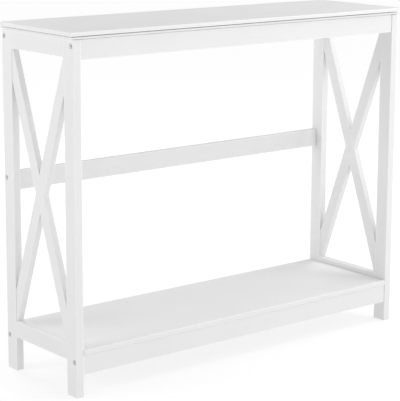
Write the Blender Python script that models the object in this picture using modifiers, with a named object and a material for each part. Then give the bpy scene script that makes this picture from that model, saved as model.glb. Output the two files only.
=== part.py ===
"""Console table: two X-braced side frames joined by bolted rails, with a lower shelf and a stepped top.

Units are metres and +Z is up. +X runs along the table's length and -Y is its front. The origin is on
the floor, under the middle of the table. "Left" and "right" are as seen by someone facing the front.
"""

import math

import bpy

# Driving dimensions of the whole table.
TABLE_LENGTH = 1.000
TABLE_DEPTH = 0.296
TABLE_HEIGHT = 0.808
GAP = 0.0003  # left between pieces that touch

# The top: a slab with an overhanging upper layer over a lower layer that just covers the frame.
SLAB_THICKNESS = 0.0096
UNDER_LAYER_THICKNESS = 0.0074
END_OVERHANG = 0.011
FRONT_OVERHANG = 0.006
UNDER_LAYER_OVERHANG = 0.002

# The frame.
LEG_THICKNESS = 0.019
LEG_WIDTH = 0.038
SIDE_RAIL_HEIGHT = 0.0393
BOTTOM_SIDE_RAIL_TOP = 0.1203
BRACE_WIDTH = 0.030
BRACE_THICKNESS = 0.015
BRACE_ANGLE = math.radians(20.1)
RAIL_THICKNESS = 0.015
RAIL_RECESS = 0.002
APRON_HEIGHT = 0.043
STRETCHER_HEIGHT = 0.045
STRETCHER_BOTTOM = 0.4225
SHELF_THICKNESS = 0.012
SHELF_TOP = 0.1073
SHELF_END_CLEARANCE = 0.002
SHELF_RAIL_HEIGHT = 0.0445
BACK_SHELF_RAIL_HEIGHT = 0.032  # nothing of it shows below the side rail
EASED_EDGE = 0.001

# Stub tenons that hold the side rails in the legs.
TENON_THICKNESS = 0.008
TENON_LENGTH = 0.012
TENON_SHOULDER = 0.006

# One bolt, barrel nut and dowel at each end of each long rail.
BOLT_ABOVE_MIDDLE = 0.0085
DOWEL_BELOW_MIDDLE = 0.012
NARROW_RAIL = "back_shelf_rail"
NARROW_BOLT_ABOVE_MIDDLE = 0.00225  # the same level as in the front shelf rail
NARROW_DOWEL_BELOW_MIDDLE = 0.009
BOLT_RADIUS = 0.003
BOLT_LENGTH = 0.048
BOLT_HEAD_RADIUS = 0.005
BOLT_HEAD_HEIGHT = 0.006
BOLT_SOCKET_RADIUS = 0.0028
BOLT_SOCKET_DEPTH = 0.0035
COUNTERBORE_RADIUS = 0.0056
COUNTERBORE_DEPTH = 0.0077
NUT_RADIUS = 0.005
NUT_LENGTH = 0.012  # it lies across the middle of the rail
NUT_FROM_RAIL_END = 0.028
DOWEL_RADIUS = 0.004
DOWEL_IN_LEG = 0.010
DOWEL_IN_RAIL = 0.020

# Screws that hold the top, and pegs that keep the shelf on its rails.
SCREW_RADIUS = 0.002
SCREW_HEAD_RADIUS = 0.0036
SCREW_HEAD_HEIGHT = 0.0028
SCREW_IN_RAIL = 0.016
SCREW_IN_TOP = 0.010
SCREW_WELL_RADIUS = 0.0044
SIDE_SCREW_Y = 0.055
PEG_RADIUS = 0.003
PEG_IN_RAIL = 0.009
PEG_IN_SHELF = 0.007
PEG_X = 0.300

COARSE_SIDES = 12
ROUND_SIDES = 16
HEX_SIDES = 6
SMOOTH_ANGLE = math.radians(40)

# Places worked out from the driving dimensions.
FRAME_X = TABLE_LENGTH / 2 - END_OVERHANG
FRAME_Y = TABLE_DEPTH / 2 - FRONT_OVERHANG
INNER_X = FRAME_X - LEG_THICKNESS
INNER_Y = FRAME_Y - LEG_WIDTH
TOP_UNDERSIDE = TABLE_HEIGHT - SLAB_THICKNESS - UNDER_LAYER_THICKNESS
LEG_TOP = TOP_UNDERSIDE - GAP
SIDE_X = FRAME_X - LEG_THICKNESS / 2
RAIL_Y = FRAME_Y - RAIL_RECESS - RAIL_THICKNESS / 2
TOP_RAIL_BOTTOM = LEG_TOP - SIDE_RAIL_HEIGHT
BOTTOM_RAIL_BOTTOM = BOTTOM_SIDE_RAIL_TOP - SIDE_RAIL_HEIGHT
SHELF_BOTTOM = SHELF_TOP - SHELF_THICKNESS

# Each long rail: its place across the depth (-1 front, +1 back), its lowest and its highest level.
LONG_RAILS = {
    "front_apron": (-1, LEG_TOP - APRON_HEIGHT, LEG_TOP),
    "back_apron": (1, LEG_TOP - APRON_HEIGHT, LEG_TOP),
    "back_stretcher": (1, STRETCHER_BOTTOM, STRETCHER_BOTTOM + STRETCHER_HEIGHT),
    "front_shelf_rail": (-1, SHELF_BOTTOM - GAP - SHELF_RAIL_HEIGHT, SHELF_BOTTOM - GAP),
    "back_shelf_rail": (1, SHELF_BOTTOM - GAP - BACK_SHELF_RAIL_HEIGHT, SHELF_BOTTOM - GAP),
}
SIDES = {"left": -1, "right": 1}
ENDS = {"front": -1, "back": 1}

AXIS_TURNS = {"X": (0, math.pi / 2, 0), "Y": (math.pi / 2, 0, 0), "Z": (0, 0, 0)}


def clear_scene():
    for obj in list(bpy.data.objects):
        bpy.data.objects.remove(obj, do_unlink=True)


def make_collection(name, hidden=False):
    collection = bpy.data.collections.new(name)
    collection.hide_render = hidden
    bpy.context.scene.collection.children.link(collection)
    return collection


def make_material(name, colour, roughness, metallic=0.0):
    material = bpy.data.materials.new(name)
    material.use_nodes = True
    shader = material.node_tree.nodes["Principled BSDF"]
    shader.inputs["Base Color"].default_value = (*colour, 1.0)
    shader.inputs["Roughness"].default_value = roughness
    shader.inputs["Metallic"].default_value = metallic
    material.diffuse_color = (*colour, 1.0)
    return material


def place_in(obj, collection):
    for old in list(obj.users_collection):
        old.objects.unlink(obj)
    collection.objects.link(obj)


def add_box(name, low, high, collection):
    """A box between two corners, with its scale applied."""
    middle = [(a + b) / 2 for a, b in zip(low, high)]
    bpy.ops.mesh.primitive_cube_add(size=1, location=middle)
    obj = bpy.context.object
    obj.name = name
    obj.data.name = name
    obj.scale = [b - a for a, b in zip(low, high)]
    bpy.ops.object.transform_apply(location=False, rotation=False, scale=True)
    place_in(obj, collection)
    return obj


def add_cylinder(name, middle, axis, radius, length, collection, sides=COARSE_SIDES):
    bpy.ops.mesh.primitive_cylinder_add(
        vertices=sides, radius=radius, depth=length, location=middle, rotation=AXIS_TURNS[axis]
    )
    obj = bpy.context.object
    obj.name = name
    obj.data.name = name
    place_in(obj, collection)
    return obj


def ease_edges(obj, width=EASED_EDGE):
    bevel = obj.modifiers.new("eased edges", "BEVEL")
    bevel.width = width
    bevel.segments = 1
    bevel.limit_method = "ANGLE"


def combine(obj, other, operation="DIFFERENCE"):
    boolean = obj.modifiers.new(other.name, "BOOLEAN")
    boolean.operation = operation
    boolean.solver = "EXACT"
    boolean.object = other


def hide_cutter(obj):
    obj.hide_render = True
    obj.display_type = "WIRE"


def shade_round(obj):
    obj.data.shade_smooth()
    obj.data.set_sharp_from_angle(angle=SMOOTH_ANGLE)


def finish(obj, material):
    obj.data.materials.clear()
    obj.data.materials.append(material)
    return obj


class Workshop:
    """The collections and materials that every piece is made with."""

    def __init__(self):
        self.parts = make_collection("console_table")
        self.cutters = make_collection("cutters", hidden=True)
        self.paint = make_material("white_painted_wood", (0.80, 0.80, 0.785), 0.42)
        self.steel = make_material("zinc_plated_steel", (0.45, 0.45, 0.44), 0.38, 0.9)
        self.beech = make_material("beech_wood", (0.62, 0.45, 0.27), 0.6)

    def board(self, name, low, high):
        obj = add_box(name, low, high, self.parts)
        ease_edges(obj)
        return finish(obj, self.paint)

    def cut_box(self, obj, low, high, turn=0.0):
        """Cuts a box from obj; turn is its angle about X."""
        cutter = add_box(obj.name + "_cut", low, high, self.cutters)
        cutter.rotation_euler = (turn, 0, 0)
        hide_cutter(cutter)
        combine(obj, cutter)

    def cut_hole(self, obj, middle, axis, radius, length, sides=COARSE_SIDES):
        cutter = add_cylinder(obj.name + "_hole", middle, axis, radius, length, self.cutters, sides)
        hide_cutter(cutter)
        combine(obj, cutter)

    def join_box(self, obj, low, high):
        extra = add_box(obj.name + "_addition", low, high, self.cutters)
        hide_cutter(extra)
        combine(obj, extra, "UNION")

    def keep_inside(self, obj, low, high):
        limit = add_box(obj.name + "_limit", low, high, self.cutters)
        hide_cutter(limit)
        combine(obj, limit, "INTERSECT")


def rail_middle(rail):
    _, low, high = LONG_RAILS[rail]
    return (low + high) / 2


def bolt_level(rail):
    rise = NARROW_BOLT_ABOVE_MIDDLE if rail == NARROW_RAIL else BOLT_ABOVE_MIDDLE
    return rail_middle(rail) + rise


def dowel_level(rail):
    drop = NARROW_DOWEL_BELOW_MIDDLE if rail == NARROW_RAIL else DOWEL_BELOW_MIDDLE
    return rail_middle(rail) - drop


def screw_places():
    """The upright screws that hold the top: name, rail, x and y."""
    places = []
    for end, sy in ENDS.items():
        places.append((f"{end}_middle_top_screw", f"{end}_apron", 0.0, sy * RAIL_Y))
        for side, sx in SIDES.items():
            name = f"{side}_{end}_top_screw"
            places.append((name, f"{side}_top_side_rail", sx * SIDE_X, sy * SIDE_SCREW_Y))
    return places


def peg_places():
    """The upright pegs between the shelf and its rails: name, rail, x and y."""
    return [
        (f"{side}_{end}_shelf_peg", f"{end}_shelf_rail", sx * PEG_X, sy * RAIL_Y)
        for side, sx in SIDES.items()
        for end, sy in ENDS.items()
    ]


def make_tabletop(shop):
    half_x = TABLE_LENGTH / 2
    half_y = TABLE_DEPTH / 2
    slab_bottom = TABLE_HEIGHT - SLAB_THICKNESS
    top = shop.board("tabletop", (-half_x, -half_y, slab_bottom), (half_x, half_y, TABLE_HEIGHT))
    under_x = FRAME_X + UNDER_LAYER_OVERHANG
    under_y = FRAME_Y + UNDER_LAYER_OVERHANG
    overlap = SLAB_THICKNESS / 2
    shop.join_box(top, (-under_x, -under_y, TOP_UNDERSIDE), (under_x, under_y, slab_bottom + overlap))
    for _, _, x, y in screw_places():
        depth = SCREW_IN_TOP + GAP
        shop.cut_hole(top, (x, y, TOP_UNDERSIDE), "Z", SCREW_RADIUS + GAP, 2 * depth)


def make_leg(shop, side, end):
    sx = SIDES[side]
    sy = ENDS[end]
    xs = sorted((sx * INNER_X, sx * FRAME_X))
    ys = sorted((sy * INNER_Y, sy * FRAME_Y))
    leg = shop.board(f"{side}_{end}_leg", (xs[0], ys[0], 0), (xs[1], ys[1], LEG_TOP))
    for low in (TOP_RAIL_BOTTOM, BOTTOM_RAIL_BOTTOM):
        cut_mortise(shop, leg, sx, sy, low)
    for rail, (rail_sy, _, _) in LONG_RAILS.items():
        if rail_sy == sy:
            cut_fixing_holes_in_leg(shop, leg, rail, sx, sy)


def cut_mortise(shop, leg, sx, sy, rail_low):
    half = TENON_THICKNESS / 2 + GAP
    ys = sorted((sy * (INNER_Y - GAP), sy * (INNER_Y + TENON_LENGTH + GAP)))
    low = (sx * SIDE_X - half, ys[0], rail_low + TENON_SHOULDER - GAP)
    high = (sx * SIDE_X + half, ys[1], rail_low + SIDE_RAIL_HEIGHT - TENON_SHOULDER + GAP)
    shop.cut_box(leg, low, high)


def cut_fixing_holes_in_leg(shop, leg, rail, sx, sy):
    y = sy * RAIL_Y
    bolt_z = bolt_level(rail)
    shop.cut_hole(leg, (sx * SIDE_X, y, bolt_z), "X", BOLT_RADIUS + GAP, 2 * LEG_THICKNESS)
    shop.cut_hole(
        leg, (sx * FRAME_X, y, bolt_z), "X", COUNTERBORE_RADIUS, 2 * COUNTERBORE_DEPTH, ROUND_SIDES
    )
    depth = DOWEL_IN_LEG + GAP
    shop.cut_hole(leg, (sx * INNER_X, y, dowel_level(rail)), "X", DOWEL_RADIUS + GAP, 2 * depth)


def make_side_rail(shop, side, level, low):
    sx = SIDES[side]
    xs = sorted((sx * INNER_X, sx * FRAME_X))
    high = low + SIDE_RAIL_HEIGHT
    end_y = INNER_Y - GAP
    name = f"{side}_{level}_side_rail"
    rail = shop.board(name, (xs[0], -end_y, low), (xs[1], end_y, high))
    half = TENON_THICKNESS / 2
    tenon_y = INNER_Y + TENON_LENGTH
    middle_x = sx * SIDE_X
    shop.join_box(
        rail,
        (middle_x - half, -tenon_y, low + TENON_SHOULDER),
        (middle_x + half, tenon_y, high - TENON_SHOULDER),
    )
    for _, rail_name, x, y in screw_places():
        if rail_name == name:
            cut_screw_well(shop, rail, x, y, low)


def cut_screw_well(shop, rail, x, y, rail_low):
    """A narrow hole to the rail's top and a wide well that lets the screw's head in from below."""
    well_depth = TOP_UNDERSIDE - SCREW_IN_RAIL - rail_low
    shop.cut_hole(rail, (x, y, TOP_UNDERSIDE), "Z", SCREW_RADIUS + GAP, 2 * (SCREW_IN_RAIL + GAP))
    shop.cut_hole(rail, (x, y, rail_low), "Z", SCREW_WELL_RADIUS, 2 * well_depth)


def make_braces(shop, side):
    """Two boards that cross in the opening of a side frame, halved into each other where they meet."""
    sx = SIDES[side]
    low_z = BOTTOM_SIDE_RAIL_TOP + GAP
    high_z = TOP_RAIL_BOTTOM - GAP
    middle_z = (low_z + high_z) / 2
    reach = (high_z - low_z) / 2 / math.cos(BRACE_ANGLE) + BRACE_WIDTH
    half_x = BRACE_THICKNESS / 2
    half_w = BRACE_WIDTH / 2
    x = sx * SIDE_X
    lap_half = half_w + GAP
    for end, sy in ENDS.items():
        # The board's top leans towards this end: a turn about X takes +Z towards -Y.
        turn = -sy * BRACE_ANGLE
        brace = shop.board(
            f"{side}_brace_to_{end}_top",
            (x - half_x, -half_w, middle_z - reach),
            (x + half_x, half_w, middle_z + reach),
        )
        brace.rotation_euler = (turn, 0, 0)
        # The outer half of one board is cut away at the crossing, and the inner half of the other.
        xs = sorted((x - sx * sy * GAP / 2, x + sx * sy * (half_x + GAP)))
        lap_low = (xs[0], -lap_half, middle_z - 2 * BRACE_WIDTH)
        lap_high = (xs[1], lap_half, middle_z + 2 * BRACE_WIDTH)
        shop.cut_box(brace, lap_low, lap_high, -turn)
        shop.keep_inside(
            brace, (x - half_x - GAP, GAP - INNER_Y, low_z), (x + half_x + GAP, INNER_Y - GAP, high_z)
        )


def make_long_rail(shop, name):
    sy, low, high = LONG_RAILS[name]
    end_x = INNER_X - GAP
    half = RAIL_THICKNESS / 2
    y = sy * RAIL_Y
    rail = shop.board(name, (-end_x, y - half, low), (end_x, y + half, high))
    # The barrel nut goes in from the back, where it is out of sight from the front.
    bolt_z = bolt_level(name)
    bolt_depth = BOLT_LENGTH + COUNTERBORE_DEPTH - LEG_THICKNESS + BOLT_RADIUS
    nut_depth = (RAIL_THICKNESS + NUT_LENGTH) / 2 + GAP
    dowel_depth = DOWEL_IN_RAIL + GAP
    for sx in SIDES.values():
        rail_end = sx * INNER_X
        nut_x = sx * (INNER_X - NUT_FROM_RAIL_END)
        shop.cut_hole(rail, (rail_end, y, bolt_z), "X", BOLT_RADIUS + GAP, 2 * bolt_depth)
        shop.cut_hole(rail, (nut_x, y + half, bolt_z), "Y", NUT_RADIUS + GAP, 2 * nut_depth, ROUND_SIDES)
        shop.cut_hole(rail, (rail_end, y, dowel_level(name)), "X", DOWEL_RADIUS + GAP, 2 * dowel_depth)
    for _, rail_name, x, screw_y in screw_places():
        if rail_name == name:
            cut_screw_well(shop, rail, x, screw_y, low)
    for _, rail_name, x, peg_y in peg_places():
        if rail_name == name:
            depth = PEG_IN_RAIL + GAP
            shop.cut_hole(rail, (x, peg_y, high), "Z", PEG_RADIUS + GAP, 2 * depth)


def make_shelf(shop):
    half_x = INNER_X - SHELF_END_CLEARANCE
    shelf = shop.board("shelf_panel", (-half_x, -FRAME_Y, SHELF_BOTTOM), (half_x, FRAME_Y, SHELF_TOP))
    for _, _, x, y in peg_places():
        depth = PEG_IN_SHELF + GAP
        shop.cut_hole(shelf, (x, y, SHELF_BOTTOM), "Z", PEG_RADIUS + GAP, 2 * depth)


def make_bolt(shop, side, rail):
    """A socket-head bolt that lies along X, with its head in the leg's counterbore."""
    sx = SIDES[side]
    sy = LONG_RAILS[rail][0]
    y = sy * RAIL_Y
    z = bolt_level(rail)
    seat = FRAME_X - COUNTERBORE_DEPTH + GAP
    name = f"{side}_{rail}_bolt"
    head_middle = (sx * (seat + BOLT_HEAD_HEIGHT / 2), y, z)
    bolt = add_cylinder(
        name, head_middle, "X", BOLT_HEAD_RADIUS, BOLT_HEAD_HEIGHT, shop.parts, ROUND_SIDES
    )
    # The shank starts a third of the way into the head, so that the two join.
    overlap = BOLT_HEAD_HEIGHT / 3
    length = BOLT_LENGTH + overlap
    shank_middle = (sx * (seat + overlap - length / 2), y, z)
    shank = add_cylinder(name + "_shank", shank_middle, "X", BOLT_RADIUS, length, shop.cutters)
    hide_cutter(shank)
    combine(bolt, shank, "UNION")
    head_end = sx * (seat + BOLT_HEAD_HEIGHT)
    shop.cut_hole(bolt, (head_end, y, z), "X", BOLT_SOCKET_RADIUS, 2 * BOLT_SOCKET_DEPTH, HEX_SIDES)
    shade_round(bolt)
    finish(bolt, shop.steel)


def make_barrel_nut(shop, side, rail):
    """A steel cylinder that lies across its rail, with the bolt's hole through it."""
    place = (
        SIDES[side] * (INNER_X - NUT_FROM_RAIL_END),
        LONG_RAILS[rail][0] * RAIL_Y,
        bolt_level(rail),
    )
    name = f"{side}_{rail}_barrel_nut"
    nut = add_cylinder(name, place, "Y", NUT_RADIUS, NUT_LENGTH, shop.parts, ROUND_SIDES)
    shop.cut_hole(nut, place, "X", BOLT_RADIUS + GAP, 3 * NUT_RADIUS)
    shade_round(nut)
    finish(nut, shop.steel)


def make_dowel(shop, side, rail):
    place = (
        SIDES[side] * (INNER_X + (DOWEL_IN_LEG - DOWEL_IN_RAIL) / 2),
        LONG_RAILS[rail][0] * RAIL_Y,
        dowel_level(rail),
    )
    length = DOWEL_IN_LEG + DOWEL_IN_RAIL
    dowel = add_cylinder(f"{side}_{rail}_dowel", place, "X", DOWEL_RADIUS, length, shop.parts)
    shade_round(dowel)
    finish(dowel, shop.beech)


def make_top_screw(shop, name, x, y):
    """A screw that stands head down in its well and reaches up into the top."""
    seat = TOP_UNDERSIDE - SCREW_IN_RAIL - GAP
    head_middle = (x, y, seat - SCREW_HEAD_HEIGHT / 2)
    screw = add_cylinder(name, head_middle, "Z", SCREW_HEAD_RADIUS, SCREW_HEAD_HEIGHT, shop.parts)
    # The shank starts a third of the way into the head, so that the two join.
    overlap = SCREW_HEAD_HEIGHT / 3
    length = SCREW_IN_RAIL + SCREW_IN_TOP + overlap
    shank_middle = (x, y, seat - overlap + length / 2)
    shank = add_cylinder(name + "_shank", shank_middle, "Z", SCREW_RADIUS, length, shop.cutters)
    hide_cutter(shank)
    combine(screw, shank, "UNION")
    shade_round(screw)
    finish(screw, shop.steel)


def make_peg(shop, name, x, y):
    middle = SHELF_BOTTOM + (PEG_IN_SHELF - PEG_IN_RAIL) / 2
    peg = add_cylinder(name, (x, y, middle), "Z", PEG_RADIUS, PEG_IN_SHELF + PEG_IN_RAIL, shop.parts)
    shade_round(peg)
    finish(peg, shop.beech)


def main():
    clear_scene()
    shop = Workshop()
    make_tabletop(shop)
    for side in SIDES:
        for end in ENDS:
            make_leg(shop, side, end)
        make_side_rail(shop, side, "top", TOP_RAIL_BOTTOM)
        make_side_rail(shop, side, "bottom", BOTTOM_RAIL_BOTTOM)
        make_braces(shop, side)
    make_shelf(shop)
    for rail in LONG_RAILS:
        make_long_rail(shop, rail)
        for side in SIDES:
            make_bolt(shop, side, rail)
            make_barrel_nut(shop, side, rail)
            make_dowel(shop, side, rail)
    for name, _, x, y in screw_places():
        make_top_screw(shop, name, x, y)
    for name, _, x, y in peg_places():
        make_peg(shop, name, x, y)


main()
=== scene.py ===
"""Finished pieces, paint, metal and stage for a white console table.

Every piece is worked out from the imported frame: the frame gives the place and size of each board and
fitting, and the functions below give it eased edges, drilled holes, threads and a finish. Units are
metres, +Z is up, +X runs along the table and -Y is its front.
"""

import math

import bpy
import numpy as np
from mathutils import Matrix, Vector


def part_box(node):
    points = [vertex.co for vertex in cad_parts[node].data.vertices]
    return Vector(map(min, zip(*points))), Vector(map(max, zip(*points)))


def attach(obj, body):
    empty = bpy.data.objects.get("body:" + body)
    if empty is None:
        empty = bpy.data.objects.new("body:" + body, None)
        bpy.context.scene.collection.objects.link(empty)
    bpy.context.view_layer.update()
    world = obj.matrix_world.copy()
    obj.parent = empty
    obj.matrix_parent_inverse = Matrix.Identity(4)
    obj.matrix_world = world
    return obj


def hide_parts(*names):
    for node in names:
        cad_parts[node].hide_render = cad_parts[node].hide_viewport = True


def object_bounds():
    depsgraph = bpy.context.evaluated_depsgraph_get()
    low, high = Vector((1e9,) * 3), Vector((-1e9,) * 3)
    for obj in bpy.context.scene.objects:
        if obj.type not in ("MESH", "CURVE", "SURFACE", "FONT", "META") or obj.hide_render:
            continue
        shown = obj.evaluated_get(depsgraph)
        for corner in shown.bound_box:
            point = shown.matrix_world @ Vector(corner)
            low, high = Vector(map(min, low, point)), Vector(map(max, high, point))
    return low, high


bl_info = {
    "name": "Console Table Finish",
    "version": (1, 0, 0),
    "blender": (4, 5, 0),
    "location": "View3D > Sidebar > Console Table",
    "description": "Builds the eased boards, fittings, finishes and stage of a white console table",
    "category": "Add Mesh",
}

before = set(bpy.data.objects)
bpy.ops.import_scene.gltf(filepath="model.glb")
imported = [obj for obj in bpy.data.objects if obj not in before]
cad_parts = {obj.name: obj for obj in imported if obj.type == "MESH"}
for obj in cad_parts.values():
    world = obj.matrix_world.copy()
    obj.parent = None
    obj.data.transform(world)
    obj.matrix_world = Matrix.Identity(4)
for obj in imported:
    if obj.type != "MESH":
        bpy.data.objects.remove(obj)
CAD_LOWEST, CAD_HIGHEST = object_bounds()

BODY = "root"

SIDES = {"left": -1, "right": 1}
ENDS = {"front": -1, "back": 1}
RAILS = {
    "front_apron": -1,
    "back_apron": 1,
    "back_stretcher": 1,
    "front_shelf_rail": -1,
    "back_shelf_rail": 1,
}
MIDDLE_SCREWS = {"front_middle_top_screw": "front_apron", "back_middle_top_screw": "back_apron"}

# Which axes the outline's two directions and its path become, in turning order.
AXIS_ORDER = {"X": (2, 0, 1), "Y": (1, 2, 0), "Z": (0, 1, 2)}
ARC_STEPS = 4
SMOOTH_ANGLE = math.radians(38)
TOUCH = 0.0003  # the frame keeps this gap where pieces touch, and the finished pieces close it
PAST = 0.001  # how far a cutter stands out of the face that it enters

# Signs of an outline's four corners in its two directions.
CORNER_A = np.array([1, -1, -1, 1])
CORNER_B = np.array([1, 1, -1, -1])

# Radii of the drilled holes, a little over those of the fittings in them, and the fixed depths.
BOLT_HOLE = 0.0033
COUNTERBORE = 0.0056
NUT_HOLE = 0.0053
DOWEL_HOLE = 0.0041
PEG_HOLE = 0.0031
SCREW_WELL = 0.0044
SCREW_HOLE = 0.0023
SCREW_PILOT = 0.0021
COUNTERBORE_DEPTH = 0.0077
BOLT_DEPTH_IN_LEG = 0.0220
BOLT_DEPTH_IN_RAIL = 0.0397
DOWEL_DEPTH_IN_LEG = 0.0103
DOWEL_DEPTH_IN_RAIL = 0.0203

SCREW_HEAD = 0.0028  # height of a wood screw's head
BOLT_HEAD = 0.0060  # height of a bolt's head
LAYER_OVERHANG = 0.0020  # how far the top's lower layer stands out over the legs
END_GROOVE_DEPTH = 0.0020  # depth of the groove over the frame at the table's two ends
LEG_FOOT_EDGE = 0.0012
LEG_TOP_EDGE = 0.0003


def box_of(node):
    """The lowest and highest corners of a frame node, as arrays."""
    low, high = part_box(node)
    return np.array(low), np.array(high)


def middle_of(node):
    """The middle of a frame node's box."""
    low, high = box_of(node)
    return (low + high) / 2


# Surfaces


def corner_outlines(half_a, half_b, radii, band):
    """Rounded-rectangle outlines, one for each level.

    The corner at signs (p, q) has its centre at (p(half_a - r), q(half_b - r)). The outline runs round
    it at centre + r(cos t, sin t) through a quarter turn, with one more point at distance band before
    the arc and one after it, along the flats. Returns the points and which of them lie on an arc.
    """
    count = len(half_a)
    quarter = np.linspace(0, 1, ARC_STEPS + 1)
    turn = (np.arange(4)[:, None] + quarter[None, :]) * math.pi / 2
    centre_a = CORNER_A * (half_a[:, None] - radii)
    centre_b = CORNER_B * (half_b[:, None] - radii)
    arc_a = centre_a[:, :, None] + radii[:, :, None] * np.cos(turn)
    arc_b = centre_b[:, :, None] + radii[:, :, None] * np.sin(turn)
    first = turn[:, 0]
    last = turn[:, -1]
    before_a = arc_a[:, :, :1] + band * np.sin(first)[None, :, None]
    before_b = arc_b[:, :, :1] - band * np.cos(first)[None, :, None]
    after_a = arc_a[:, :, -1:] - band * np.sin(last)[None, :, None]
    after_b = arc_b[:, :, -1:] + band * np.cos(last)[None, :, None]
    a = np.concatenate([before_a, arc_a, after_a], axis=2).reshape(count, -1)
    b = np.concatenate([before_b, arc_b, after_b], axis=2).reshape(count, -1)
    on_arc = np.tile(np.r_[0.0, np.ones(ARC_STEPS + 1), 0.0], 4)
    return np.stack([a, b], axis=-1), on_arc


def lay_along(outlines, levels, axis):
    """Stands each flat outline across the axis at its level: (a, b, level) in turning order."""
    path = np.broadcast_to(levels[:, None, None], outlines.shape[:2] + (1,))
    return np.concatenate([outlines, path], axis=-1)[:, :, AXIS_ORDER[axis]]


def skin(rings):
    """Four-sided faces between neighbouring rings, and a cap over the first ring and over the last."""
    count, around = rings.shape[:2]
    index = np.arange(count * around).reshape(count, around)
    ahead = np.roll(index, -1, axis=1)
    sides = np.stack([index[:-1], ahead[:-1], ahead[1:], index[1:]], axis=-1)
    faces = sides.reshape(-1, 4).tolist()
    faces.append(index[0, ::-1].tolist())
    faces.append(index[-1].tolist())
    return rings.reshape(-1, 3), faces


def end_profile(radius, band):
    """How far an eased end has come along the board, and how far it still stands in from its sides.

    It starts inside the end's flat face. At angle t it is at radius(1 - cos t) along and
    radius(1 - sin t) in. The last array is 1 on the eased edge, 0 on the sides and -1 on the face.
    """
    if radius <= 0:
        return np.array([0.0, band]), np.array([0.0, 0.0]), np.array([0.0, 0.0])
    t = np.linspace(0, math.pi / 2, ARC_STEPS + 1)
    along = np.r_[0.0, radius * (1 - np.cos(t)), radius + band]
    inward = np.r_[radius + band, radius * (1 - np.sin(t)), 0.0]
    return along, inward, np.r_[-1.0, np.ones(ARC_STEPS + 1), 0.0]


def board_surface(low, high, axis, radii_at, ends, band, stations=()):
    """A board: rounded-rectangle outlines carried along its length, drawn in at the eased ends.

    radii_at gives the four corner radii at each level, so an edge can fade out where two boards are
    flush. At a level that stands in by d, each half size is less by d and each radius too.
    """
    order = AXIS_ORDER[axis]
    across_a, across_b, path = (order.index(k) for k in (0, 1, 2))
    start, stop = low[path], high[path]
    along_0, in_0, eased_0 = end_profile(ends[0], band)
    along_1, in_1, eased_1 = end_profile(ends[1], band)
    inner = np.array(sorted(stations), float)
    inner = inner[(inner > start + along_0[-1] + 1e-5) & (inner < stop - along_1[-1] - 1e-5)]
    levels = np.concatenate([start + along_0, inner, (stop - along_1)[::-1]])
    inward = np.concatenate([in_0, np.zeros(len(inner)), in_1[::-1]])
    eased = np.concatenate([eased_0, np.zeros(len(inner)), eased_1[::-1]])
    half_a = (high[across_a] - low[across_a]) / 2 - inward
    half_b = (high[across_b] - low[across_b]) / 2 - inward
    radii = np.maximum(radii_at(levels) - inward[:, None], 2e-5)
    outlines, on_arc = corner_outlines(half_a, half_b, radii, band)
    middle = (low + high) / 2
    outlines = outlines + middle[[across_a, across_b]]
    points, faces = skin(lay_along(outlines, levels, axis))
    return points, faces, edge_mask(eased, on_arc)


def edge_mask(eased, on_arc):
    """1 where either direction is on an eased edge, and 0 all over a flat face marked -1."""
    return np.clip(eased[:, None] + on_arc[None, :], 0, 1).ravel()


def fixed_radii(corners):
    """The given four radii, all the way along."""
    return lambda levels: np.broadcast_to(corners, (len(levels), 4))


def axis_basis(direction):
    """Three unit vectors in turning order, the last along the direction."""
    w = Vector(direction).normalized()
    u = Vector((0, 1, 0)) if abs(w.x) > 0.5 else Vector((1, 0, 0))
    v = w.cross(u).normalized()
    u = v.cross(w)
    return np.array([u, v, w])


def turned_surface(place, direction, heights, radius_of, around):
    """A turned piece: at height h and angle t the point is place + r(u cos t + v sin t) + h w.

    r is radius_of[row, column], so that flutes, threads and hexagons are all radii that vary with t.
    """
    t = np.arange(around) * 2 * math.pi / around
    radius = np.broadcast_to(radius_of, (len(heights), around))
    local = np.stack(
        [radius * np.cos(t), radius * np.sin(t), np.broadcast_to(heights[:, None], radius.shape)],
        axis=-1,
    )
    return skin(local @ axis_basis(direction) + np.asarray(place, float))


def hexagon_radius(around, apothem):
    """The radius of a hexagon at each angle: apothem over the cosine of the angle from its nearest flat."""
    t = np.arange(around) * 2 * math.pi / around
    return apothem / np.cos((t + math.pi / 6) % (math.pi / 3) - math.pi / 6)


def thread_radii(heights, around, core, crest, pitch):
    """A screw thread, as a radius for each height and angle.

    The radius goes from core to crest and back once each pitch, and the ridge rises by one pitch in
    each turn. It fades to the core at both ends over one pitch.
    """
    t = np.arange(around) / around
    phase = (heights[:, None] / pitch - t[None, :]) % 1.0
    ridge = np.clip(1.35 * np.abs(2 * phase - 1) - 0.2, 0, 1)
    reach = np.minimum(heights - heights.min(), heights.max() - heights) / pitch
    return core + (crest - core) * ridge * np.clip(reach, 0, 1)[:, None]


# Meshes


def add_object(name, points, faces, material):
    """Makes a mesh object with one material and puts it in the scene."""
    mesh = bpy.data.meshes.new(name)
    mesh.from_pydata(np.asarray(points).tolist(), [], faces)
    mesh.materials.append(material)
    obj = bpy.data.objects.new(name, mesh)
    bpy.context.scene.collection.objects.link(obj)
    return obj


def add_board(node, surface, paint):
    """Makes a node's finished board, and keeps its edge mask on it for the paint to read."""
    points, faces, edge = surface
    board = add_object(f"{node}_finished", points, faces, paint)
    mask = board.data.attributes.new("eased_edge", "FLOAT", "POINT")
    mask.data.foreach_set("value", np.asarray(edge, np.float32))
    return board


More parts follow.
